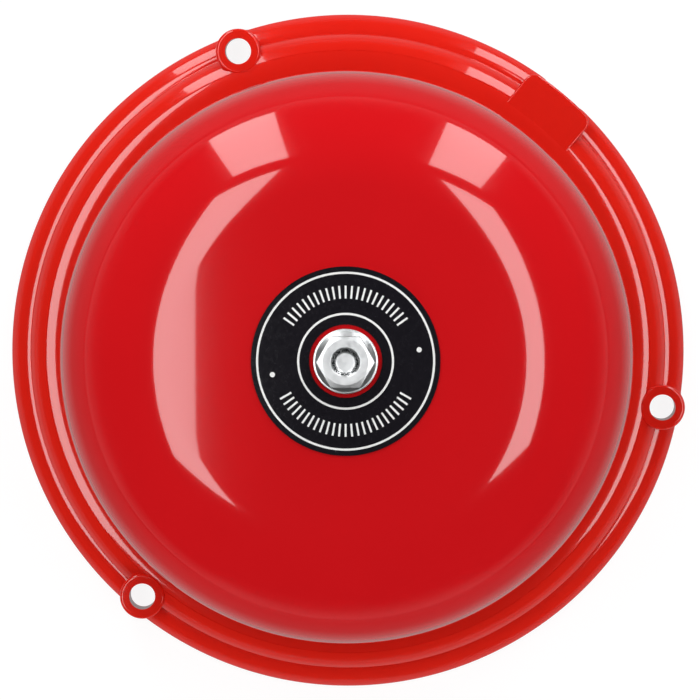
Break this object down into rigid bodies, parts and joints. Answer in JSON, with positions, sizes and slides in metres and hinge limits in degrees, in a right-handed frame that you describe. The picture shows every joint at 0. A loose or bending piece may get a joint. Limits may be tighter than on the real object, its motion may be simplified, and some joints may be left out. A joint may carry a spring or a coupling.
{
  "type": "fire alarm bell",
  "caption": "Red round fire alarm bell: a domed gong bolted to a stepped base with fixing lugs and a cable hood, struck from inside by hammers that a small motor swings out.",
  "frame": {"origin": "middle of the back, on the wall plane under the gong axis", "axes": "+Z along the gong axis, out of the wall; +Y towards the cable hood"},
  "size_m": [0.12, 0.1207, 0.0602],
  "materials": {
    "red_plastic": "moulded, satin gloss",
    "red_enamel": "smooth gloss enamel",
    "black_film": "printed film",
    "zinc": "bright zinc plate",
    "steel": "turned",
    "brass": "bright",
    "bronze": "sintered",
    "copper": "enamelled wire",
    "ferrite": "sintered",
    "fibre": "vulcanised fibre",
    "black_plastic": "moulded",
    "acetal": "moulded",
    "white_polyamide": "moulded",
    "red_sleeve": "extruded",
    "black_sleeve": "extruded",
    "ochre_ceramic": "dipped"
  },
  "bodies": {
    "housing": {"base": "red_plastic", "gong": "red_enamel", "gong_label": "black_film", "gong_bolt": "zinc", "gong_post": "steel", "gong_washer": "fibre", "post_washer": "zinc", "post_nut": "zinc", "motor_can": "steel", "motor_end_cap": "black_plastic", "motor_magnet": "ferrite", "motor_front_bush": "bronze", "motor_rear_bush": "bronze", "motor_pad": "fibre", "motor_screw_1": "zinc", "motor_screw_2": "zinc", "motor_brush_1": "brass", "motor_brush_2": "brass", "terminal_body": "white_polyamide", "terminal_barrel_1": "brass", "terminal_barrel_2": "brass", "terminal_screw_1": "zinc", "terminal_screw_2": "zinc", "terminal_screw_3": "zinc", "terminal_screw_4": "zinc", "terminal_fixing_screw": "zinc", "lead_red": "red_sleeve", "lead_black": "black_sleeve", "suppressor": "ochre_ceramic"},
    "rotor": {"motor_shaft": "steel", "armature_core": "steel", "armature_coil_1": "copper", "armature_coil_2": "copper", "armature_coil_3": "copper", "commutator": "copper", "hammer_carrier": "acetal", "hammer_pin_1": "zinc", "hammer_pin_2": "zinc"},
    "hammer_1": {"hammer_1": "steel"},
    "hammer_2": {"hammer_2": "steel"}
  },
  "joints": [
    {"name": "rotor_spin", "type": "hinge", "parent": "housing", "child": "rotor", "pos_m": [0, -0.028, 0.0269], "axis": [0, 0, 1], "continuous": true},
    {"name": "hammer_1_swing", "type": "hinge", "parent": "rotor", "child": "hammer_1", "pos_m": [0.00651, -0.02254, 0.0309], "axis": [0, 0, -1], "range_deg": [0, 142]},
    {"name": "hammer_2_swing", "type": "hinge", "parent": "rotor", "child": "hammer_2", "pos_m": [-0.00651, -0.03346, 0.0309], "axis": [0, 0, -1], "range_deg": [0, 142]}
  ]
}
